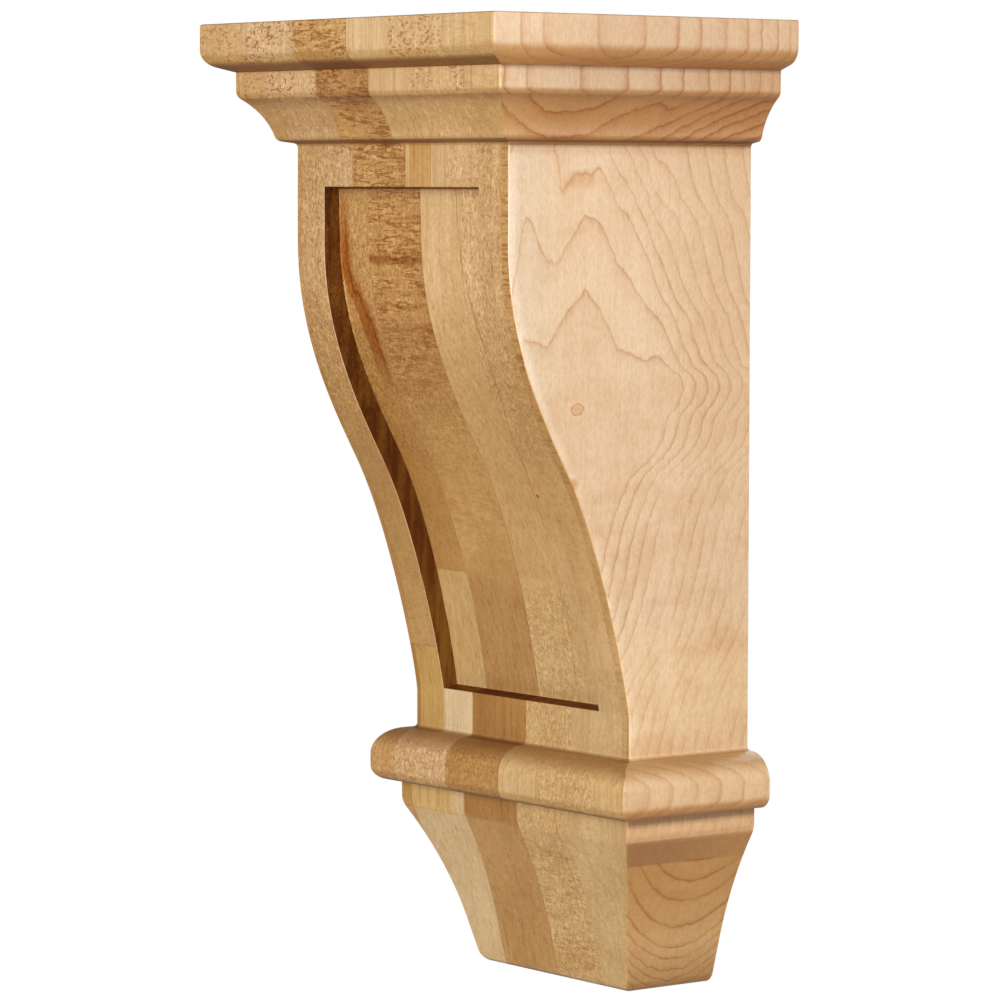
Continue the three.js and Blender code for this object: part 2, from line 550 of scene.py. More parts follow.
def banded(tree, value, stops):
    node = tree.nodes.new("ShaderNodeValToRGB")
    connect(tree, value, node.inputs[0])
    node.color_ramp.interpolation = "CONSTANT"
    stretch = node.color_ramp.elements
    while len(stretch) < len(stops):
        stretch.new(0.5)
    for i, (position, colour) in enumerate(stops):
        stretch[i].position = position
        stretch[i].color = (*colour, 1)
    return node.outputs[0]


def bent(tree, value, span, rise, points, sharp=False):
    # A curve through points (from, to). Span and rise are the ranges that the two cover.
    node = tree.nodes.new("ShaderNodeFloatCurve")
    connect(tree, ratio(tree, minus(tree, value, span[0]), span[1] - span[0]), node.inputs["Value"])
    curve = node.mapping.curves[0]
    while len(curve.points) < len(points):
        curve.points.new(0.5, 0.5)
    for point, (start, end) in zip(curve.points, points):
        point.handle_type = "VECTOR" if sharp else "AUTO"
        point.location = ((start - span[0]) / (span[1] - span[0]), (end - rise[0]) / (rise[1] - rise[0]))
    node.mapping.update()
    return plus(tree, times(tree, node.outputs[0], rise[1] - rise[0]), rise[0])


def spotDistance(tree, across, level, spot, stretch=(1, 1)):
    # How far a place on a face lies from a spot. Stretch makes the spot narrower or flatter.
    a = times(tree, minus(tree, across, spot[0]), stretch[0])
    b = times(tree, minus(tree, level, spot[1]), stretch[1])
    return maths(tree, "SQRT", plus(tree, times(tree, a, a), times(tree, b, b)))


def newGroup(name, inputs, outputs):
    tree = bpy.data.node_groups.new(name, "ShaderNodeTree")
    kinds = {"place": "NodeSocketVector", "colour": "NodeSocketColor", "number": "NodeSocketFloat"}
    for sockets, side in ((inputs, "INPUT"), (outputs, "OUTPUT")):
        for socketName, kind in sockets.items():
            tree.interface.new_socket(socketName, in_out=side, socket_type=kinds[kind])
    return tree, tree.nodes.new("NodeGroupInput").outputs, tree.nodes.new("NodeGroupOutput").inputs


def placed(tree, group, **values):
    node = tree.nodes.new("ShaderNodeGroup")
    node.node_tree = group
    for name, value in values.items():
        connect(tree, value, node.inputs[name])
    return node.outputs


# Sizes of the maple's figure in millimetres: across the fibres along x and y, and along them.
figure = {
    "fine fibre": (0.5, 0.5, 7),
    "soft fibre": (2.2, 2.2, 50),
    "slow tone": (22, 22, 30),
    "ray lens": (1.4, 1.4, 2.3),
    "ray grit": (0.7, 0.7, 1.7),
    "ray dash": (1.9, 1.9, 0.95),
    "dash patch": (11, 11, 18),
    "curl wave": (7.5, 7.5, 1.2),
    "curl band": (60, 60, 9),
    "curl patch": (13, 13, 10),
    "fine line": (1.3, 1.3, 90),
    "mottle": (1.0, 1.0, 2.2),
    "lustre": (7, 7, 5),
    "slow wave": (30, 30, 15),
    "faint ring": (16, 16, 24),
    "patchy ring": (9, 9, 20),
    "ring shake": (4.54545, 4.54545, 4.54545),
    "edge tick": (9, 9, 1.1),
    "streak shake": (3, 3, 14),
    "band wander": (9, 9, 9),
    "knot shake": (2, 2, 2),
    "end pore": (0.45, 0.45, 30),
    "end year": (1.5, 34, 90),
    "wall streak": (3, 3, 22),
}


# Fibres run along Z: fine streaks, wider soft streaks and slow changes of tone.
def fibreGroup():
    tree, given, made = newGroup("fibre", {"Place": "place"}, {"Shade": "number", "Height": "number"})
    fine = cloud(tree, given["Place"], figure["fine fibre"], 3, 0.6)
    soft = cloud(tree, given["Place"], figure["soft fibre"], 2, 0.5)
    slow = cloud(tree, given["Place"], figure["slow tone"], 1, 0.5)
    shade = plus(tree, times(tree, fine, 0.34), times(tree, soft, 0.36))
    connect(tree, plus(tree, shade, times(tree, slow, 0.3)), made["Shade"])
    connect(tree, fine, made["Height"])
    return tree


# The crepe of rays that reach a quarter-sawn face: pale lenses with brown squiggles between them,
# and separate brown dashes.
def crepeGroup():
    outputs = {"Dark": "number", "Pale": "number", "Dash": "number"}
    tree, given, made = newGroup("rayCrepe", {"Place": "place"}, outputs)
    lens = cloud(tree, given["Place"], figure["ray lens"], 2, 0.5, 0.6)
    edge = maths(tree, "ABSOLUTE", minus(tree, lens, 0.47))
    grit = cloud(tree, given["Place"], figure["ray grit"], 1, 0.5, 0.5)
    squiggle = times(tree, eased(tree, edge, 0.0, 0.05, 1.0, 0.0), 0.75)
    connect(tree, most(tree, squiggle, eased(tree, grit, 0.46, 0.34)), made["Dark"])
    connect(tree, eased(tree, lens, 0.53, 0.63), made["Pale"])
    dash = eased(tree, cloud(tree, given["Place"], figure["ray dash"], 1, 0.5, 0.5), 0.56, 0.64)
    patch = eased(tree, cloud(tree, given["Place"], figure["dash patch"], 1), 0.34, 0.5)
    connect(tree, times(tree, dash, patch), made["Dash"])
    return tree


# Curly figure: short level waves across the fibres, with a few broad brown bands.
def curlGroup():
    outputs = {"Dark": "number", "Pale": "number", "Band": "number"}
    tree, given, made = newGroup("curl", {"Place": "place"}, outputs)
    wave = cloud(tree, given["Place"], figure["curl wave"], 2, 0.5, 1.3)
    broad = cloud(tree, given["Place"], figure["curl band"], 1, 0.5, 0.3)
    patch = eased(tree, cloud(tree, given["Place"], figure["curl patch"], 1), 0.30, 0.52)
    connect(tree, times(tree, eased(tree, wave, 0.49, 0.59), patch), made["Dark"])
    connect(tree, times(tree, eased(tree, wave, 0.47, 0.38), patch), made["Pale"])
    connect(tree, eased(tree, broad, 0.55, 0.68), made["Band"])
    return tree


# How far a face turns up or down. The tints that use it are partly end grain, where the cut crosses the
# fibres, and partly painted shade on ledges, undersides and faces that slant down.
def grainAndShadeByTiltGroup():
    tree, given, made = newGroup("grainAndShadeByTilt", {}, {"Up": "number", "Down": "number", "Slant": "number"})
    surface = tree.nodes.new("ShaderNodeNewGeometry")
    up = parts(tree, surface.outputs["Normal"])[2]
    down = times(tree, up, -1)
    connect(tree, eased(tree, up, 0.25, 0.95), made["Up"])
    connect(tree, eased(tree, down, 0.6, 0.94), made["Down"])
    connect(tree, eased(tree, down, -0.02, 0.5), made["Slant"])
    return tree


# The boards, from left to right: right edge, tone of the front layer and of the rear layer,
# and how much each layer shows of crepe, curl and fine lines.
boards = [
    {"edge": -62.5, "front": (0.665, 0.405, 0.180), "frontFigure": (0.8, 0.0, 0.3),
     "rear": (0.56, 0.345, 0.120), "rearFigure": (0.3, 0.0, 0.6)},
    {"edge": -29.3, "front": (0.69, 0.450, 0.235), "frontFigure": (1.0, 0.1, 0.1),
     "rear": (0.70, 0.500, 0.275), "rearFigure": (0.2, 0.0, 0.7)},
    {"edge": 3.5, "front": (0.62, 0.365, 0.138), "frontFigure": (0.85, 1.0, 0.1),
     "rear": (0.485, 0.262, 0.083), "rearFigure": (0.35, 0.0, 0.8)},
    {"edge": 27.5, "front": (0.72, 0.480, 0.243), "frontFigure": (0.35, 0.0, 0.8),
     "rear": (0.67, 0.445, 0.200), "rearFigure": (0.75, 0.5, 0.2), "rear edge": 31.0},
    {"edge": 61.0, "front": (0.72, 0.475, 0.240), "frontFigure": (0.85, 0.0, 0.3),
     "rear": (0.64, 0.430, 0.205), "rearFigure": (0.35, 0.15, 0.4)},
    {"edge": 95.0, "front": (0.70, 0.460, 0.222), "frontFigure": (0.3, 0.25, 0.8),
     "rear": (0.60, 0.395, 0.178), "rearFigure": (0.3, 0.1, 0.6)},
]
boardSpan = (-95.0, 95.0)
glue = {
    "layer depth": 59.3,  # the glue plane between the front and rear layers
    "layer soft": 0.2,
    "rear below": -109.3,  # the drop shows only the rear layer
    "melt": (-3.5, 3.0),  # round the glue plane, where the two layers look alike
    "melt above": (-70, -66),
    "half": 0.13,
    "left strength": 0.4,
    "board shift": 37.0,  # every board has its own stretch of grain
    "layer shift": 61.0,
    "shift along": 1.7,
}


def boardStops(key):
    stops = []
    left = boardSpan[0]
    for board in boards:
        stops.append(((left - boardSpan[0]) / (boardSpan[1] - boardSpan[0]), board[key]))
        left = board.get("rear edge", board["edge"]) if key.startswith("rear") else board["edge"]
    return stops


def rightOf(tree, x, index, low=0.0, high=1.0):
    # 0 up to a board's right edge and 1 beyond it.
    return eased(tree, x, boards[index]["edge"] - 0.1, boards[index]["edge"] + 0.1, low, high)


def onBoards(tree, x, first, last):
    return between(tree, x, boards[first - 1]["edge"], boards[last]["edge"], 0.1)


# Gives each place the tone and the figure of the board that it lies in.
def boardGroup():
    outputs = {"Tone": "colour", "Crepe": "number", "Curl": "number", "Lines": "number", "Glue": "number",
               "Own place": "place"}
    tree, given, made = newGroup("boardTones", {"Place": "place"}, outputs)
    x, y, level = parts(tree, given["Place"])
    share = ratio(tree, minus(tree, x, boardSpan[0]), boardSpan[1] - boardSpan[0])
    onDrop = maths(tree, "LESS_THAN", level, glue["rear below"])
    behind = most(tree, maths(tree, "GREATER_THAN", y, -glue["layer depth"]), onDrop)
    # Right of the second board the two layers are so alike that they seem to melt together.
    melted = most(tree, eased(tree, y, *[edge - glue["layer depth"] for edge in glue["melt"]]), onDrop)
    alike = times(tree, onBoards(tree, x, 2, 4), eased(tree, level, *glue["melt above"]))
    rear = blended(tree, alike, behind, melted)
    tone, figures = [tinted(tree, rear, banded(tree, share, boardStops(front)),
                            banded(tree, share, boardStops(back)), "MIX")
                     for front, back in (("front", "rear"), ("frontFigure", "rearFigure"))]
    connect(tree, tone, made["Tone"])
    for name, amount in zip(("Crepe", "Curl", "Lines"), parts(tree, figures)):
        connect(tree, amount, made[name])
    lines = most(tree, *[nearTo(tree, x, board["edge"], glue["half"]) for board in boards[:-1]])
    layer = nearTo(tree, y, -glue["layer depth"], glue["half"])
    leftOnly = times(tree, minus(tree, 1.0, rightOf(tree, x, 1)), glue["left strength"])
    connect(tree, most(tree, lines, times(tree, layer, leftOnly)), made["Glue"])
    count = times(tree, behind, glue["layer shift"])
    for board in boards[:-1]:
        past = maths(tree, "GREATER_THAN", x, board["edge"])
        count = plus(tree, count, times(tree, past, glue["board shift"]))
    shift = tree.nodes.new("ShaderNodeCombineXYZ")
    connect(tree, count, shift.inputs[0])
    connect(tree, times(tree, count, glue["shift along"]), shift.inputs[2])
    connect(tree, moved(tree, given["Place"], shift.outputs[0]), made["Own place"])
    return tree


# Zones of the corbel by level, measured from the middle of its height.
zones = {
    "undercut": (159.5, 163.4),
    "tier": (149, 163),
    "side of the tier": (149, 161),
    "cove": (133.6, 149),
    "body": (-89.0, 133.6),
    "slope": (-45, 40),
    "low lines": (-89, 20),
    "low rail": (-89.0, -72),
    "bead": (-109, -89.0),
    "drop tier": (-119, -109),
    "side of the drop tier": (-117, -109),
    # Levels of a painted shadow that the drop tier casts on the drop's side.
    "painted tier shadow": (-127.8, -118.0),
    "plain": (-127.5, -109),
    "stained": (129.5, 133.6),
}


def inZone(tree, level, name, soft):
    return between(tree, level, *zones[name], soft)


blockTints = {
    "fibre": (0.84, 0.77, 0.66),
    "fine lines": (0.80, 0.70, 0.54),
    "curl bands": (0.84, 0.73, 0.56),
    "dark curl": (0.64, 0.47, 0.28),
    "pale curl": (1.13, 1.17, 1.20),
    "pale rays": (1.16, 1.20, 1.26),
    "dark rays": (0.66, 0.52, 0.36),
    "dashes": (0.57, 0.38, 0.19),
    "glue": (0.66, 0.50, 0.36),
    # The next three are partly end grain and partly painted shade: faces that slant down, ledges and
    # undersides are darkened where shade falls.
    "slanted": (0.81, 0.74, 0.57),
    "facing up": (0.48, 0.37, 0.24),
    "facing down": (0.40, 0.255, 0.085),
}


# The face of the glued block, for every surface that shows the boards.
def blockFaceGroup(groups):
    outputs = {"Color": "colour", "Roughness": "number", "Height": "number"}
    tree, given, made = newGroup("blockFace", {"Place": "place", "Grain": "number"}, outputs)
    y, level = parts(tree, given["Place"])[1:]
    board = placed(tree, groups["boards"], Place=given["Place"])
    own = board["Own place"]
    fibre = placed(tree, groups["fibre"], Place=own)
    curl = placed(tree, groups["curl"], Place=own)
    crepe = placed(tree, groups["crepe"], Place=own)
    end = placed(tree, groups["end"])
    lines = eased(tree, cloud(tree, own, figure["fine line"], 3, 0.7), 0.54, 0.64)
    # Crepe and curl show only where the cut runs along the fibres.
    along = minus(tree, 1.0, eased(tree, most(tree, end["Up"], end["Down"]), 0.5, 0.9))
    curlByLevel = most(tree, eased(tree, level, 30, 75, 0.25, 1.0), eased(tree, level, -118, -126))
    curly = times(tree, board["Curl"], along, curlByLevel)
    # The crepe fades where the front slopes back, down to the rear layer.
    inRear = eased(tree, y, -1.0 - glue["layer depth"], 1.6 - glue["layer depth"])
    crepeByLevel = most(tree, eased(tree, level, 0, 45, 0.25, 1.0), eased(tree, level, -86, -89), inRear)
    crepeShare = times(tree, board["Crepe"], crepeByLevel, along)
    # On the crown the squiggles give way to dashes, apart from the cove.
    crackle = times(tree, crepeShare, eased(tree, level, 120, 138, 1.0, 0.55))
    onCrown = times(tree, eased(tree, level, 120, 138, 0.3, 1.0), along)
    outOfCove = blended(tree, inZone(tree, level, "cove", 1), 1.0, 0.2)
    slant = times(tree, eased(tree, end["Slant"], 0.2, 1.0), eased(tree, level, -114, -108))
    colour = washed(tree, board["Tone"], blockTints, {
        "fibre": eased(tree, fibre["Shade"], 0.62, 0.36),
        "fine lines": times(tree, lines, board["Lines"]),
        "curl bands": times(tree, curl["Band"], curly),
        "dark curl": times(tree, curl["Dark"], curly),
        "pale curl": times(tree, curl["Pale"], curly),
        "pale rays": times(tree, crepe["Pale"], crepeShare),
        "dark rays": times(tree, crepe["Dark"], crackle),
        "dashes": times(tree, crepe["Dash"], eased(tree, board["Crepe"], 0.5, 1.0), onCrown, outOfCove),
        "glue": times(tree, board["Glue"], 0.7),
        # Painted shade, with end grain, on faces that slant down, face up or face down.
        "slanted": slant,
        "facing up": end["Up"],
        "facing down": end["Down"],
    })
    connect(tree, colour, made["Color"])
    rough = plus(tree, 0.44, times(tree, fibre["Height"], 0.14))
    connect(tree, plus(tree, rough, times(tree, end["Up"], 0.14)), made["Roughness"])
    height = times(tree, fibre["Height"], given["Grain"])
    connect(tree, plus(tree, height, times(tree, crepe["Dark"], -0.35)), made["Height"])
    return tree


# Growth rings of a flat-sawn board, as a number that rises by one from ring to ring.
# Depth is measured from the back. The arches point up, and the lower rings lean to the front.
ringPlan = {
    "face": 65.25,  # the board's face on the body, along X
    "rings per depth": 0.62,  # rings crossed for each millimetre into the board
    "depths": (0, 150),
    "arch level": [(0, 44), (31, 46), (39, 50), (52, 56.5), (62, 60), (66, 67), (70, 74), (77, 81.5),
                   (87, 71), (91, 65), (94, 61.5), (104, 64), (106, 58), (110, 46), (150, 34)],
    "first spacing": [(0, 9), (32.5, 9.6), (41.7, 15.5), (47, 19), (52.7, 23), (60.5, 29.5), (68, 30.5),
                      (77, 26.5), (84, 24.5), (88, 24), (92, 28), (98, 35.5), (103, 43), (108, 35),
                      (150, 20)],
    "second spacing": [(0, 12), (32.5, 14), (43.5, 14.5), (50, 19), (60.5, 21), (70, 20), (76, 15),
                       (82, 20.5), (87, 21.5), (88.5, 30), (91, 40), (95, 48), (150, 48)],
    "later spacing": [(0, 0.78), (40, 0.74), (52, 0.56), (66, 0.56), (73, 3), (150, 3)],  # of the second
    "arch from": (42, 56),
    "arch back": (34, 50),
    "edge": [(-178, 122), (-110, 104), (-68, 92), (-45, 78), (-22, 69.5), (-12, 67), (-1, 63.5), (6, 60),
             (13, 56), (20, 47), (27, 41), (34, 39), (41, 33), (46, 31.5), (54, 39), (62, 44), (69, 47.5),
             (81, 58), (94, 66), (106, 74), (116, 84), (133, 92), (178, 100)],
    "edge spacing": (5.6, 8.8),
    "spread from": (40, 140),
    "plain below": -0.4,
    # Smiles on the drop: level of each ring's lowest point, halfway along the side.
    "smile": [(-178, 11), (-174.5, 10), (-171, 9), (-166.5, 8), (-162, 7), (-154, 6), (-144, 5), (-136, 4),
              (-128, 3), (-110, 2.2)],
    "smile middle": 21,
    "smile rise": 0.021,
    "smile levels": (-117, -118.5),
    "smile spacing": 8,
    # On the crown: rings across the cap and tier, and one ring's level in the cove.
    "crown": [(0, 10.5), (4, 9), (10, 8), (17.5, 7), (24, 6), (34, 5), (45.5, 4), (56, 3), (71, 2),
              (82, 1.4), (92, 2), (116, 3), (126, 4), (150, 5)],
    "crown faces": (91.45, 81.75),  # along X: the cap and the tier
    "crown rings per depth": 0.22,
    "crown spacing": 9.0,
    "cap foot": 160.5,
    "cove": [(0, 160), (25, 150), (37, 144.6), (57.5, 136.2), (70.7, 132), (80.5, 127.6), (93.4, 126.6),
             (100, 127), (107.6, 130), (115.6, 134.2), (125.6, 139.3), (150, 150)],
    "cove spacing": [(0, 4.6), (45, 5.2), (57.5, 10.6), (70, 10), (92, 8.7), (150, 8.6)],
    "cove top": 149.6,
    "waver": (0, 1.9, 2.8),
}


def ringGroup():
    tree, given, made = newGroup("growthRings", {"Place": "place"}, {"Ring": "number", "Spacing": "number"})
    shake = noiseNode(tree, given["Place"], figure["ring shake"], 3).outputs["Color"]
    waver = stretched(tree, moved(tree, shake, (-0.5, -0.5, -0.5)), ringPlan["waver"])
    x, y, level = parts(tree, moved(tree, given["Place"], waver))
    depth = times(tree, y, -1)

    def byDepth(key, rise, sharp=False):
        return bent(tree, depth, ringPlan["depths"], rise, ringPlan[key], sharp)

    first = byDepth("first spacing", (0, 50))
    second = byDepth("second spacing", (0, 50))
    later = times(tree, second, byDepth("later spacing", (0, 4), True))
    above = minus(tree, level, byDepth("arch level", (0, 100), True))
    aboveFirst = minus(tree, above, first)
    aboveSecond = minus(tree, aboveFirst, second)
    arch = maths(tree, "MINIMUM", ratio(tree, above, first), 1.0)
    arch = plus(tree, arch, maths(tree, "DIVIDE", aboveFirst, second, True))
    arch = plus(tree, arch, most(tree, ratio(tree, aboveSecond, later), 0.0))
    edge = bent(tree, level, (-178, 178), (0, 150), ringPlan["edge"])
    edgeSpacing = eased(tree, level, *ringPlan["spread from"], *ringPlan["edge spacing"])
    beside = ratio(tree, minus(tree, edge, depth), edgeSpacing)
    toArch = times(tree, eased(tree, level, *ringPlan["arch from"]),
                   eased(tree, depth, *ringPlan["arch back"]))
    ring = most(tree, blended(tree, toArch, beside, arch), ringPlan["plain below"])
    into = minus(tree, x, ringPlan["face"])
    ring = minus(tree, ring, times(tree, into, ringPlan["rings per depth"]))
    onBead = between(tree, level, zones["bead"][0], zones["bead"][1] - 0.5, 0.1)
    ring = blended(tree, onBead, ring, times(tree, ring, 0.5))
    fromMiddle = minus(tree, depth, ringPlan["smile middle"])
    rise = times(tree, fromMiddle, fromMiddle, ringPlan["smile rise"])
    smile = bent(tree, minus(tree, level, rise), (-178, -110), (0, 12), ringPlan["smile"])
    toSmile = eased(tree, level, *ringPlan["smile levels"])
    ring = blended(tree, toSmile, ring, smile)
    spacing = blended(tree, toArch, edgeSpacing, times(tree, first, 0.6))
    spacing = blended(tree, toSmile, spacing, ringPlan["smile spacing"])
    capFace, tierFace = ringPlan["crown faces"]
    crownFace = blended(tree, maths(tree, "GREATER_THAN", level, ringPlan["cap foot"]), tierFace, capFace)
    under = times(tree, minus(tree, crownFace, x), ringPlan["crown rings per depth"])
    across = plus(tree, byDepth("crown", (0, 11)), under)
    coveSpacing = byDepth("cove spacing", (0, 12))
    cove = ratio(tree, minus(tree, level, byDepth("cove", (100, 160))), coveSpacing)
    cove = plus(tree, cove, 20)  # clear of the other rings' numbers
    aboveCove = maths(tree, "GREATER_THAN", level, ringPlan["cove top"])
    onCrown = maths(tree, "GREATER_THAN", level, zones["body"][1])
    crownSpacing = blended(tree, aboveCove, coveSpacing, ringPlan["crown spacing"])
    connect(tree, blended(tree, onCrown, ring, blended(tree, aboveCove, cove, across)), made["Ring"])
    connect(tree, blended(tree, onCrown, spacing, crownSpacing), made["Spacing"])
    return tree


flatTints = {
    "fibre": (0.95, 0.92, 0.885),
    "mottle": (0.93, 0.89, 0.85),
    "lustre": (0.97, 0.95, 0.925),
    "wave": (0.94, 0.88, 0.82),
    "glow": (0.90, 0.79, 0.69),
    "line": (0.75, 0.53, 0.38),
    # The next three are partly end grain and partly painted shade on faces that slant down, face up or face
    # down.
    "slanted": (0.77, 0.56, 0.31),
    "facing up": (0.63, 0.52, 0.35),
    "facing down": (0.78, 0.68, 0.55),
    # Painted light: lifts the shaded underside of the cap on the sides.
    "painted light on cap soffit": (1.45, 1.45, 1.42),
}


def faded(tree, distance, reach):
    return maths(tree, "EXPONENT", ratio(tree, distance, -reach))


# The face of the flat-sawn outer boards.
def flatFaceGroup(groups):
    inputs = {"Place": "place", "Tone": "colour", "Grain": "number"}
    outputs = {"Color": "colour", "Roughness": "number", "Height": "number"}
    tree, given, made = newGroup("flatSawnFace", inputs, outputs)
    place = given["Place"]
    level = parts(tree, place)[2]
    rings = placed(tree, groups["rings"], Place=place)
    fibre = placed(tree, groups["fibre"], Place=place)
    end = placed(tree, groups["end"])
    # Each ring is a sharp line with a soft glow on its inner side, stronger or fainter by luck.
    share = maths(tree, "FRACT", rings["Ring"])
    before = times(tree, minus(tree, 1.0, share), rings["Spacing"])
    line = most(tree, faded(tree, before, 0.6), faded(tree, times(tree, share, rings["Spacing"]), 0.25))
    luck = tree.nodes.new("ShaderNodeTexWhiteNoise")
    luck.noise_dimensions = "1D"
    connect(tree, maths(tree, "FLOOR", rings["Ring"]), luck.inputs["W"])
    strength = plus(tree, times(tree, luck.outputs["Value"], 0.4), 0.65)
    faint = eased(tree, cloud(tree, place, figure["faint ring"], 1), 0.3, 0.58, 0.5, 1.0)
    # Fainter where the rings lie close, and low on the body they come and go.
    onBody = between(tree, level, zones["body"][0], zones["body"][1] - 0.6, 0.5)
    close = blended(tree, onBody, 1.0, eased(tree, rings["Ring"], 2.5, 4.5, 1.0, 0.62))
    patchy = eased(tree, cloud(tree, place, figure["patchy ring"], 2), 0.36, 0.62, 0.3, 1.0)
    patchy = most(tree, patchy, eased(tree, rings["Ring"], 3.0, 1.5))
    fading = blended(tree, inZone(tree, level, "low lines", 12), 1.0, patchy)
    line = times(tree, line, strength, faint, close, fading)
    line = times(tree, line, blended(tree, inZone(tree, level, "bead", 0.5), 1.0, 0.6),
                 blended(tree, inZone(tree, level, "plain", 0.6), 1.0, 0.12))
    # Stronger on the drop, in the cove and on the tier.
    onDrop = eased(tree, level, *ringPlan["smile levels"])
    inCove = between(tree, level, zones["body"][1], ringPlan["cove top"], 0.8)
    onTier = between(tree, level, ringPlan["cove top"], ringPlan["cap foot"] - 0.5, 0.8)
    stronger = most(tree, onDrop, inCove, times(tree, onTier, 0.6))
    line = maths(tree, "MULTIPLY", line, plus(tree, 1.0, times(tree, stronger, 0.6)), True)
    glow = times(tree, faded(tree, before, 3.4), fading, minus(tree, 0.6, times(tree, onDrop, 0.45)))
    glow = maths(tree, "MULTIPLY", glow, plus(tree, 1.0, inCove), True)
    wave = eased(tree, cloud(tree, place, figure["slow wave"], 1, 0.5, 0.5), 0.48, 0.70)
    colour = washed(tree, given["Tone"], flatTints, {
        "fibre": eased(tree, fibre["Shade"], 0.60, 0.38),
        "mottle": eased(tree, cloud(tree, place, figure["mottle"], 3, 0.6, 0.3), 0.60, 0.36),
        "lustre": eased(tree, cloud(tree, place, figure["lustre"], 2, 0.5, 0.8), 0.48, 0.66),
        "wave": times(tree, wave, eased(tree, level, 60.0, 10.0, 0.3, 1.0)),
        "glow": glow,
        "line": line,
        # Painted shade, with end grain, where the side's faces turn up or down.
        "slanted": end["Slant"],
        "facing up": end["Up"],
        "facing down": end["Down"],
        # Painted light on the underside of the cap.
        "painted light on cap soffit": times(tree, end["Down"], eased(tree, level, 158, 160)),
    })
    connect(tree, colour, made["Color"])
    connect(tree, plus(tree, 0.42, times(tree, fibre["Height"], 0.12)), made["Roughness"])
    height = times(tree, fibre["Height"], given["Grain"])
    connect(tree, plus(tree, height, times(tree, line, -0.4)), made["Height"])
    return tree


def startFinish(name):
    # A bare material, its node tree and the place of each point in millimetres.
    material = bpy.data.materials.new(name)
    material.use_nodes = True
    tree = material.node_tree
    coordinates = tree.nodes.new("ShaderNodeTexCoord")
    place = stretched(tree, coordinates.outputs["Object"], (1 / metres, 1 / metres, 1 / metres))
    return material, tree, place


def endFinish(tree, face, colour, bump, gloss=0.4):
    shader = tree.nodes["Principled BSDF"]
    shader.inputs["Specular IOR Level"].default_value = gloss
    relief = tree.nodes.new("ShaderNodeBump")
    relief.inputs["Strength"].default_value = bump
    relief.inputs["Distance"].default_value = 0.0001
    tree.links.new(relief.outputs["Normal"], shader.inputs["Normal"])
    connect(tree, colour, shader.inputs["Base Color"])
    connect(tree, face["Roughness"], shader.inputs["Roughness"])
    connect(tree, face["Height"], relief.inputs["Height"])


# The front, with the tones that its boards take from place to place.
frontMarks = {
    "streak": (6.4, 19.0),  # an amber streak under the crown, along X
    "streak depth": 106.0,
    "edge strip": 61.2,  # the outer board's edge, with short ticks
    "left rail": (-46.5, -48.0),
    "right rail": 46.5,
    "sloping soft": 14,
}
frontTints = {
    "body": (0.96, 0.95, 0.91),
    "bead": (0.90, 0.89, 0.79),
    "bead, brown board": (0.90, 0.84, 0.75),
    "bead, left end": (0.90, 0.86, 0.72),
    "low rail, brown board": (0.94, 0.86, 0.72),
    # The next two are painted light: the low rail turns up toward the light, so it is lighter.
    "low rail, second board": (1.08, 1.12, 1.18),
    "low rail, other boards": (1.04, 1.05, 1.09),
    "right rail": (0.95, 0.93, 0.89),
    "drop": (0.91, 0.89, 0.84),
    "drop tier, brown board": (0.85, 0.77, 0.58),
    # Painted light that lifts the bead's shadow on the drop tier.
    "drop tier, right": (1.05, 1.05, 1.07),
    "drop tier, left": (1.05, 0.97, 0.75),
    "tier, brown board": (0.80, 0.71, 0.62),
    "tier, right": (0.96, 0.95, 0.91),
    "cove, left": (0.94, 0.93, 0.94),
    # Under the cap: partly end grain, partly painted shade where the cap overhangs.
    "undercut": (0.97, 0.89, 0.68),
    "cap": (1.03, 1.06, 1.08),
    "left rail": (0.93, 0.89, 0.78),
    "left rail, rear layer": (0.95, 0.86, 0.62),
    "left rail, low": (0.95, 0.92, 0.82),
    # Painted shade on the middle of the S-shaped front, which slopes down away from the light.
    "slope": (0.94, 0.92, 0.85),
    "streak": (0.87, 0.73, 0.50),
    "streak, left line": (0.76, 0.62, 0.44),
    "streak, right line": (0.72, 0.57, 0.38),
    "edge strip": (0.86, 0.77, 0.60),
    "edge ticks": (0.72, 0.58, 0.40),
}


def frontLayer(tree, y):
    depth = glue["layer depth"]
    return eased(tree, y, glue["layer soft"] - depth, -glue["layer soft"] - depth)


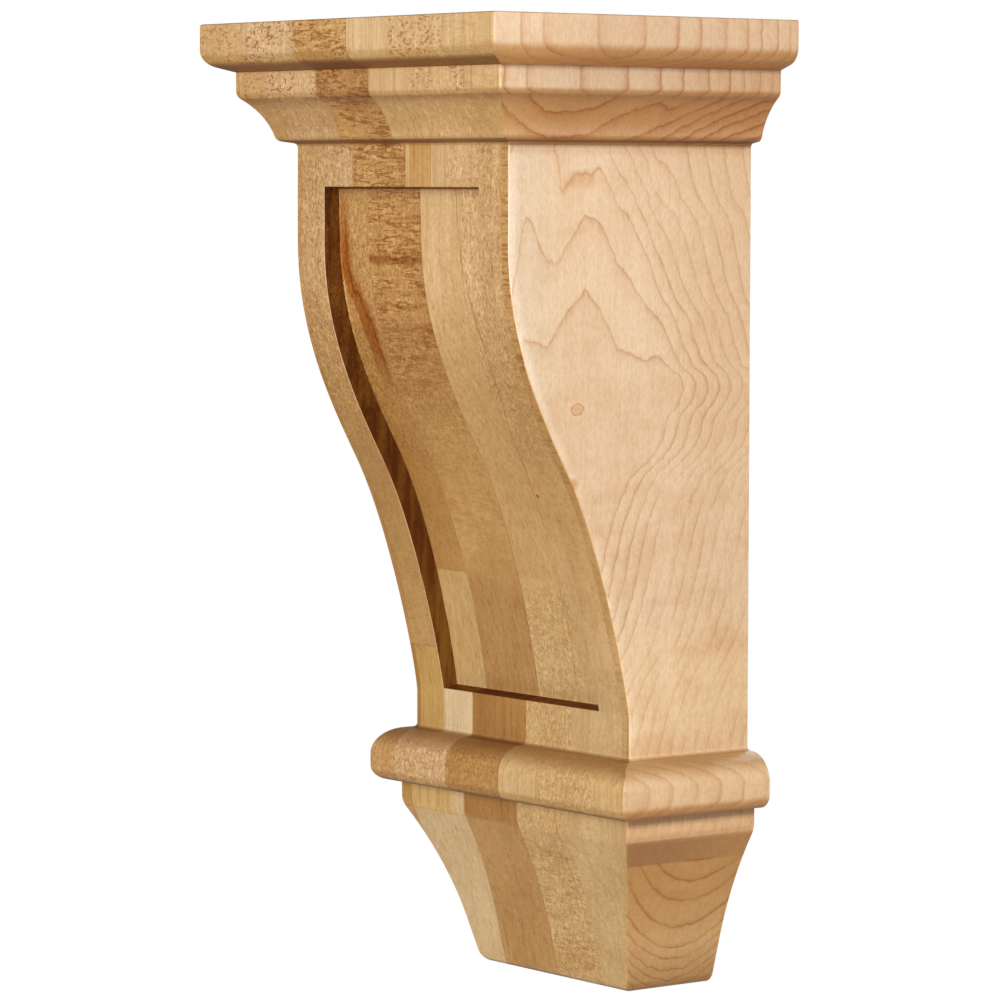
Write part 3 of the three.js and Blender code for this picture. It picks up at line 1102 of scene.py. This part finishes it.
def blockFinish(groups):
    material, tree, place = startFinish("mapleBoards")
    face = placed(tree, groups["block"], Place=place, Grain=1.0)
    x, y, level = parts(tree, place)
    onBody = inZone(tree, level, "body", 0.3)
    onBead = inZone(tree, level, "bead", 1)
    lowRail = inZone(tree, level, "low rail", 0.3)
    onDropTier = inZone(tree, level, "drop tier", 0.8)
    onTier = inZone(tree, level, "tier", 1)
    brownBoard = onBoards(tree, x, 2, 2)
    otherBoards = minus(tree, 1.0, brownBoard)
    rightBoards = rightOf(tree, x, 2)
    inFront = frontLayer(tree, y)
    leftRail = times(tree, eased(tree, x, *frontMarks["left rail"]), onBody)
    rightRail = times(tree, onBody, between(tree, x, frontMarks["right rail"], frontMarks["edge strip"], 1))
    slope = times(tree, inZone(tree, level, "slope", frontMarks["sloping soft"]), inFront)
    low, high = frontMarks["streak"]
    outside = eased(tree, y, 0.5 - frontMarks["streak depth"], -0.5 - frontMarks["streak depth"])
    onRail = times(tree, onBody, outside)
    underCap = times(tree, outside, eased(tree, level, 164, 162.5, 0.25, 1.0))
    stripFrom = frontMarks["edge strip"]
    strip = times(tree, eased(tree, x, stripFrom - 0.3, stripFrom + 0.3), onBody,
                  eased(tree, level, -10, 70, 0.3, 1.0))
    ticks = eased(tree, cloud(tree, place, figure["edge tick"], 1, 0.5), 0.53, 0.62)
    colour = washed(tree, face["Color"], frontTints, {
        "body": onBody,
        "bead": times(tree, onBead, rightOf(tree, x, 1, 0.1, 1.0)),
        "bead, brown board": times(tree, onBead, brownBoard),
        "bead, left end": times(tree, onBead, minus(tree, 1.0, rightOf(tree, x, 0))),
        "low rail, brown board": times(tree, lowRail, brownBoard),
        # Painted light on the low rail, which turns up toward the light; the brown board keeps its own tone.
        "low rail, second board": times(tree, lowRail, between(tree, x, -46, boards[1]["edge"], 0.2)),
        "low rail, other boards": times(tree, lowRail, otherBoards),
        "right rail": times(tree, rightRail, eased(tree, level, 40, 80)),
        "drop": times(tree, eased(tree, level, -108.5, -109.5), otherBoards),
        "drop tier, brown board": times(tree, onDropTier, brownBoard),
        # Painted light against the bead's shadow.
        "drop tier, right": times(tree, onDropTier, rightBoards),
        "drop tier, left": times(tree, onDropTier, eased(tree, x, -34, -40)),
        "tier, brown board": times(tree, onTier, brownBoard),
        "tier, right": times(tree, onTier, rightBoards),
        "cove, left": times(tree, inZone(tree, level, "cove", 1), minus(tree, 1.0, rightOf(tree, x, 1))),
        # Partly end grain, partly painted shade under the cap.
        "undercut": inZone(tree, level, "undercut", 0.4),
        "cap": eased(tree, level, 158, 162),
        "left rail": leftRail,
        "left rail, rear layer": times(tree, leftRail, minus(tree, 1.0, inFront)),
        "left rail, low": times(tree, leftRail, eased(tree, level, 20, -10)),
        # Painted shade on the downward slope.
        "slope": slope,
        "streak": times(tree, between(tree, x, low, high, 0.15), onRail),
        "streak, left line": times(tree, between(tree, x, low - 0.2, low + 0.2, 0.3), onRail),
        "streak, right line": times(tree, between(tree, x, high - 0.2, high + 0.2, 0.3), underCap),
        "edge strip": strip,
        "edge ticks": times(tree, strip, ticks),
    })
    endFinish(tree, face, colour, bump=0.6)
    return material


# The floor of the sunk panel, with the marks that only it has, and painted light and shade on its slope, its
# upper part and under the top wall.
floorMarks = {
    "levels": (-80, 135),
    "across": (-50, 50),
    "amber": [(-80, -36), (50, -33.5), (65, -34.5), (72, -36), (83, -42), (97, -43.5), (135, -46)],
    "amber levels": (48.0, 108.0),
    "amber width": (-5.5, 2.8),
    "heart width": (-0.4, 0.6),
    # Level, half height and strength of each brown curl.
    "curl bands": [(91, 1.6, 1.0), (106, 0.7, 0.7), (99, 0.5, 0.4), (83, 0.5, 0.4), (74, 0.7, 0.7),
                   (66, 0.6, 0.6)],
    "brown line": [(-80, 24), (19, 28), (30, 28.8), (41, 31.6), (56, 32.1), (66, 31.4), (81, 29.5),
                   (92, 27.3), (135, 25)],
    "brown line from": 12.0,
    "pin": (29.2, 5.6),
    "pin size": 0.9,
    "rim line": (-46.3, -46.7),
    "rim line levels": (58, 112),
}
floorTints = {
    "left board, front layer": (0.83, 0.73, 0.51),
    "left board, rear layer": (0.91, 0.83, 0.64),
    "brown board, high": (0.90, 0.84, 0.76),
    "brown board, low": (1.06, 1.08, 1.12),
    "curl band": (0.72, 0.54, 0.34),
    "rim line": (1.35, 1.40, 1.45),
    # Painted shade on the middle of the floor, which slopes down away from the light.
    "slope": (0.95, 0.91, 0.84),
    "amber": (0.70, 0.42, 0.12),
    "heart": (0.52, 0.29, 0.13),
    "brown line": (0.66, 0.50, 0.34),
    "pin": (0.35, 0.24, 0.15),
    # Painted light on the upper floor, lifting the shade of the top rail.
    "high": (1.04, 1.04, 1.02),
    # A dark line under the top wall: painted contact shade, with the cutter's burn in the corner.
    "burn and shade under top wall": (0.48, 0.28, 0.09),
}


def floorFinish(groups):
    material, tree, place = startFinish("maplePanelFloor")
    face = placed(tree, groups["block"], Place=place, Grain=1.0)
    x, y, level = parts(tree, place)
    inFront = frontLayer(tree, y)
    brownBoard = onBoards(tree, x, 2, 2)
    leftBoard = minus(tree, 1.0, rightOf(tree, x, 1))
    colour = washed(tree, face["Color"], floorTints, {
        "left board, front layer": times(tree, leftBoard, inFront),
        "left board, rear layer": times(tree, leftBoard, minus(tree, 1.0, inFront)),
        "brown board, high": times(tree, brownBoard, eased(tree, level, 30, 80)),
        "brown board, low": times(tree, brownBoard, eased(tree, level, 60, 20)),
    })
    wander = times(tree, minus(tree, cloud(tree, place, figure["band wander"], 2), 0.5), 5)
    wavyLevel = plus(tree, level, wander)
    for bandLevel, half, strength in floorMarks["curl bands"]:
        band = between(tree, wavyLevel, bandLevel - half, bandLevel + half, half * 0.6)
        colour = tinted(tree, times(tree, band, strength, brownBoard), colour, floorTints["curl band"])

    def fromCurve(key):
        return minus(tree, x, bent(tree, level, floorMarks["levels"], floorMarks["across"], floorMarks[key]))

    shake = times(tree, minus(tree, cloud(tree, place, figure["streak shake"], 2), 0.5), 6)
    fromAmber = plus(tree, fromCurve("amber"), shake)
    along = between(tree, level, *floorMarks["amber levels"], 14)
    fromLine = plus(tree, fromCurve("brown line"), times(tree, shake, 0.12))
    lineFrom = floorMarks["brown line from"]
    brownLine = times(tree, between(tree, fromLine, -0.25, 0.25, 0.3),
                      eased(tree, level, lineFrom - 6, lineFrom + 6, 0.3, 1.0))
    pin = spotDistance(tree, x, level, floorMarks["pin"])
    top = panelLevels[0] - corbel["height"] / 2
    rimLine = times(tree, eased(tree, x, *floorMarks["rim line"]),
                    between(tree, level, *floorMarks["rim line levels"], 4))
    # Painted shade where the floor slopes down.
    slope = times(tree, inZone(tree, level, "slope", frontMarks["sloping soft"]),
                  minus(tree, 1.0, brownBoard), inFront)
    colour = washed(tree, colour, floorTints, {
        "rim line": rimLine,
        "slope": slope,
        "amber": times(tree, between(tree, fromAmber, *floorMarks["amber width"], 1.8), along),
        "heart": times(tree, between(tree, fromAmber, *floorMarks["heart width"], 0.7), along),
        "brown line": times(tree, brownLine, 0.8),
        "pin": eased(tree, pin, floorMarks["pin size"] * 0.5, floorMarks["pin size"], 1.0, 0.0),
        # Painted light on the upper part of the floor.
        "high": eased(tree, level, 40, 90),
        # Painted contact shade, with the cutter's burn, just under the top wall.
        "burn and shade under top wall": eased(tree, level, top - 1.1, top - 0.5),
    })
    endFinish(tree, face, colour, bump=0.6)
    return material


# The sides of the block. The knot, the stain and the patch are only on the right side.
sideMarks = {
    # The side's front edge carries a painted highlight, a pale band that these points trace.
    "edge spots": 16,  # points that the pale front edge follows
    "edge levels": (-90, 140),
    "edge depths": (50, 115),
    "edge width": (5.0, 1.2),
    "knot": (80.4, 38.7),  # depth and level
    "knot size": 2.6,
    "knot stretch": (0.85, 1.2),
    "stain": (82.2, 12.0),
    "stain size": (3.6, 0.6),
    "patch": (78, 120),
    "patch size": (9, 3.5),
}
sideTints = {
    "crown": (0.88, 0.83, 0.80),
    # A painted shadow of the drop tier on the drop's side.
    "painted tier shadow": (0.71, 0.64, 0.64),
    "back of the body": (0.95, 0.92, 0.88),
    "front of the body": (0.96, 0.99, 1.03),
    "low body": (1.05, 1.04, 0.98),
    "bead": (0.97, 0.93, 0.85),
    "drop tier": (0.98, 0.87, 0.72),
    "drop": (0.90, 0.86, 0.67),
    # Painted shade on the down-turned foot of the drop.
    "foot": (0.76, 0.71, 0.62),
    "stained": (0.93, 0.82, 0.75),
    "back of the tier": (0.95, 0.89, 0.81),
    "tier": (0.94, 0.95, 0.98),
    # A painted highlight along the side's rounded front edge.
    "painted highlight on front edge": (1.15, 1.24, 1.36),
    "knot rim": (0.76, 0.52, 0.32),
    "knot": (0.90, 0.77, 0.58),
    "stain": (0.84, 0.60, 0.42),
    "patch": (0.90, 0.76, 0.66),
}


def frontEdge():
    # The level and depth of the side's front edge, for the painted highlight along it.
    walk = CurveWalk(frontCurve())
    count = sideMarks["edge spots"]
    spots = [walk.at(walk.lengths[-1] * step / count) for step in range(count + 1)]
    return [(spot.y - corbel["height"] / 2, spot.x) for spot in reversed(spots)]


def sideFinish(groups, name, tone, turn):
    material, tree, place = startFinish(name)
    face = placed(tree, groups["flat"], Place=stretched(tree, place, turn), Tone=(*tone, 1), Grain=0.8)
    y, level = parts(tree, place)[1:]
    depth = times(tree, y, -1)
    onBody = inZone(tree, level, "body", 0.3)
    onTier = inZone(tree, level, "side of the tier", 1)
    crown = eased(tree, level, zones["body"][1] - 0.5, zones["body"][1] + 0.5)
    edge = bent(tree, level, sideMarks["edge levels"], sideMarks["edge depths"], frontEdge())
    fromEdge = minus(tree, edge, depth)
    colour = washed(tree, face["Color"], sideTints, {
        "crown": times(tree, crown, eased(tree, depth, 120, 85)),
        # Painted shadow under the drop tier, strongest toward the front.
        "painted tier shadow": times(tree, inZone(tree, level, "painted tier shadow", 0.35),
                           eased(tree, depth, 0, 48, 0.45, 1.0)),
        "back of the body": times(tree, onBody, eased(tree, depth, 48, 16)),
        "front of the body": times(tree, onBody, eased(tree, depth, 85, 105)),
        "low body": times(tree, onBody, eased(tree, level, -30, -60)),
        "bead": inZone(tree, level, "bead", 0.3),
        "drop tier": inZone(tree, level, "side of the drop tier", 0.5),
        "drop": eased(tree, level, -118, -120),
        # Darker toward the foot: painted shade on its down-turned rounding.
        "foot": eased(tree, level, -158, -177),
        "stained": times(tree, inZone(tree, level, "stained", 1.4), 0.7),
        "back of the tier": times(tree, onTier, eased(tree, depth, 60, 30)),
        "tier": onTier,
        # Painted highlight along the front edge.
        "painted highlight on front edge": times(tree, eased(tree, fromEdge, *sideMarks["edge width"]), onBody,
                           eased(tree, level, -20, 60, 0.5, 1.0)),
    })
    if turn[0] > 0:
        size = sideMarks["knot size"]
        knot = spotDistance(tree, depth, level, sideMarks["knot"], sideMarks["knot stretch"])
        knot = plus(tree, knot, times(tree, cloud(tree, place, figure["knot shake"], 2), 2.0))
        stain = spotDistance(tree, depth, level, sideMarks["stain"])
        squash = [1 / length for length in sideMarks["patch size"]]
        patch = spotDistance(tree, depth, level, sideMarks["patch"], squash)
        colour = washed(tree, colour, sideTints, {
            "knot rim": between(tree, knot, size + 0.3, size + 0.9, 0.35),
            "knot": eased(tree, knot, size + 0.2, size - 0.6),
            "stain": eased(tree, stain, *sideMarks["stain size"]),
            "patch": times(tree, eased(tree, patch, 1.3, 0.3), 0.6),
        })
    endFinish(tree, face, colour, bump=0.5)
    return material


# The back, the seat and the foot: plain sawn board faces and end grain.
backTints = {
    # Lifts the painted shade and dark end-grain tone that the block face puts on level faces.
    "end grain": (1.9, 2.1, 2.6),  # lifts the dark tone that small ledges have
    "years": (0.74, 0.62, 0.48),
    "pores": (0.78, 0.68, 0.56),
}


def backFinish(groups):
    material, tree, place = startFinish("mapleBack")
    face = placed(tree, groups["block"], Place=place, Grain=1.0)
    end = placed(tree, groups["end"])
    ended = most(tree, end["Up"], end["Down"])
    years = eased(tree, cloud(tree, place, figure["end year"], 2, 0.6, 0.4), 0.50, 0.64)
    pores = eased(tree, cloud(tree, place, figure["end pore"], 1), 0.56, 0.66)
    colour = washed(tree, face["Color"], backTints, {
        "end grain": ended,
        "years": times(tree, years, ended),
        "pores": times(tree, pores, ended),
    })
    endFinish(tree, face, colour, bump=0.6)
    return material


# The cutter left the panel's walls dark and burnished.
wallTints = {
    "burnished": (0.35, 0.205, 0.060),
    "facing up": (1.25, 1.0, 0.45),
    "streaks": (0.62, 0.5, 0.42),
    "low": (1.28, 1.37, 1.29),
}


def wallFinish(groups):
    material, tree, place = startFinish("maplePanelWalls")
    face = placed(tree, groups["block"], Place=place, Grain=1.0)
    colour = washed(tree, face["Color"], wallTints, {
        "burnished": 1.0,
        "facing up": placed(tree, groups["end"])["Up"],
        "streaks": eased(tree, cloud(tree, place, figure["wall streak"], 2, 0.6), 0.4, 0.62),
        "low": eased(tree, parts(tree, place)[2], -20, -60),
    })
    endFinish(tree, face, colour, bump=0.8, gloss=0.15)
    return material


def makeFinishes():
    groups = {"fibre": fibreGroup(), "crepe": crepeGroup(), "curl": curlGroup(), "end": grainAndShadeByTiltGroup(),
              "boards": boardGroup(), "rings": ringGroup()}
    groups["block"] = blockFaceGroup(groups)
    groups["flat"] = flatFaceGroup(groups)
    return [
        blockFinish(groups),
        sideFinish(groups, "mapleRightSide", (0.79, 0.585, 0.385), (1, 1, 1)),
        sideFinish(groups, "mapleLeftSide", (0.74, 0.53, 0.33), (-1, 1.1, 1)),
        wallFinish(groups),
        floorFinish(groups),
        backFinish(groups),
    ]


def plainFinish(name, colour):
    material = bpy.data.materials.new(name)
    material.use_nodes = True
    shader = material.node_tree.nodes["Principled BSDF"]
    shader.inputs["Base Color"].default_value = (*colour, 1)
    shader.inputs["Roughness"].default_value = 0.5
    return material


studio = {
    "camera place": (1.35157, -1.08653, 0.11916),
    "camera right": (0.60272, 0.79796, 0.00231),
    "camera up": (-0.05628, 0.03962, 0.99764),
    "camera back": (0.79597, -0.60142, 0.06879),
    "lens": 165.6,
    "sensor": 36,
    "sight": 50,
    "floor level": -1.0,
    "floor half": 1.6,
    "floor colour": (0.8, 0.8, 0.8),
    # Place, size and power of each light.
    "lights": {
        "keyLight": ((1.75, -0.08, 0.95), 0.5, 26),
        "fillLight": ((0.5, -2.4, 0.5), 1.8, 50),
        "backLight": ((-1.3, 1.9, 0.7), 1.6, 24),
    },
    "aim": (0, -0.06, 0),
    "ambient": 0.25,
}


def buildCamera():
    camera = bpy.data.objects.new("photoCamera", bpy.data.cameras.new("photoCamera"))
    bpy.context.collection.objects.link(camera)
    columns = [studio["camera right"], studio["camera up"], studio["camera back"], studio["camera place"]]
    camera.matrix_world = Matrix([[*row] for row in zip(*columns)] + [[0, 0, 0, 1]])
    camera.data.lens = studio["lens"]
    camera.data.sensor_width = studio["sensor"]
    camera.data.clip_end = studio["sight"]
    bpy.context.scene.camera = camera


def buildLight(name, place, size, power):
    light = bpy.data.objects.new(name, bpy.data.lights.new(name, "AREA"))
    bpy.context.collection.objects.link(light)
    light.location = place
    light.rotation_euler = (Vector(studio["aim"]) - light.location).to_track_quat("-Z", "Y").to_euler()
    light.data.size = size
    light.data.energy = power


def buildWorld():
    # White to the camera, softer as light.
    world = bpy.data.worlds.new("studio")
    bpy.context.scene.world = world
    world.use_nodes = True
    nodes = world.node_tree.nodes
    background = nodes["Background"]
    rays = nodes.new("ShaderNodeLightPath")
    strength = nodes.new("ShaderNodeMapRange")
    strength.inputs["To Min"].default_value = studio["ambient"]
    strength.inputs["To Max"].default_value = 1
    world.node_tree.links.new(rays.outputs["Is Camera Ray"], strength.inputs["Value"])
    world.node_tree.links.new(strength.outputs[0], background.inputs["Strength"])
    background.inputs["Color"].default_value = (1, 1, 1, 1)


def buildFloor():
    size = studio["floor half"]
    corners = [(-size, -size), (size, -size), (size, size), (-size, size)]
    mesh = bpy.data.meshes.new("floor")
    mesh.from_pydata([(x, y, studio["floor level"]) for x, y in corners], [], [(0, 1, 2, 3)])
    floor = bpy.data.objects.new("floor", mesh)
    bpy.context.collection.objects.link(floor)
    mesh.materials.append(plainFinish("paleFloor", studio["floor colour"]))
    return floor


buildCamera()
buildWorld()
for lightName, light in studio["lights"].items():
    buildLight(lightName, *light)
buildFloor()
bpy.context.scene.view_settings.view_transform = "Standard"
print("studio ready")

finishes = makeFinishes()
print("finishes ready")
corbelBlock = buildCorbel(finishes)
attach(corbelBlock, "root")
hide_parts("corbel")
print("corbel ready:", len(corbelBlock.data.polygons), "faces")
